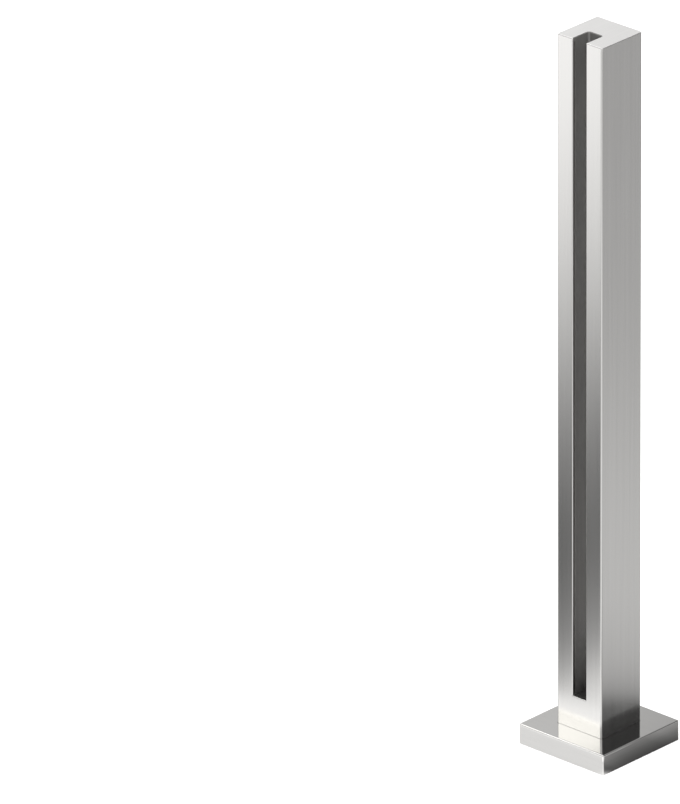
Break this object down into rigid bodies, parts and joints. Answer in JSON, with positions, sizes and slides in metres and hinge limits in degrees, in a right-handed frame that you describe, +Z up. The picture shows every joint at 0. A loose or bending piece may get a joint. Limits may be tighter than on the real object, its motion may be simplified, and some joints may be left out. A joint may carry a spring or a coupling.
{
  "type": "glass balustrade post",
  "caption": "Square stainless post with a slot down one face that holds the edge of a glass pane, on a bolted foot with a square cover that slides up the post.",
  "frame": {"origin": "on the floor, under the middle of the post", "axes": "+Z up along the post; the slot for the glass faces -Y"},
  "size_m": [0.096, 0.096, 0.65],
  "materials": {
    "brushed_post": "stainless, fine brushed along the post",
    "channel_steel": "stainless sheet, dull mill finish",
    "ground_cap": "stainless, ground and fine brushed",
    "plate_steel": "stainless plate, dull mill finish",
    "weld_steel": "weld bead, faintly heat tinted",
    "polished_cover": "stainless, polished over a fine brush"
  },
  "bodies": {
    "post": {"post_tube": "brushed_post", "glazing_channel": "channel_steel", "channel_end_plate": "channel_steel", "top_cap": "ground_cap", "base_plate": "plate_steel", "foot_weld": "weld_steel"},
    "cover": {"base_cover": "polished_cover"}
  },
  "joints": [
    {"name": "cover_lift", "type": "slide", "parent": "post", "child": "cover", "axis": [0, 0, 1], "range_m": [0, 0.63]}
  ]
}
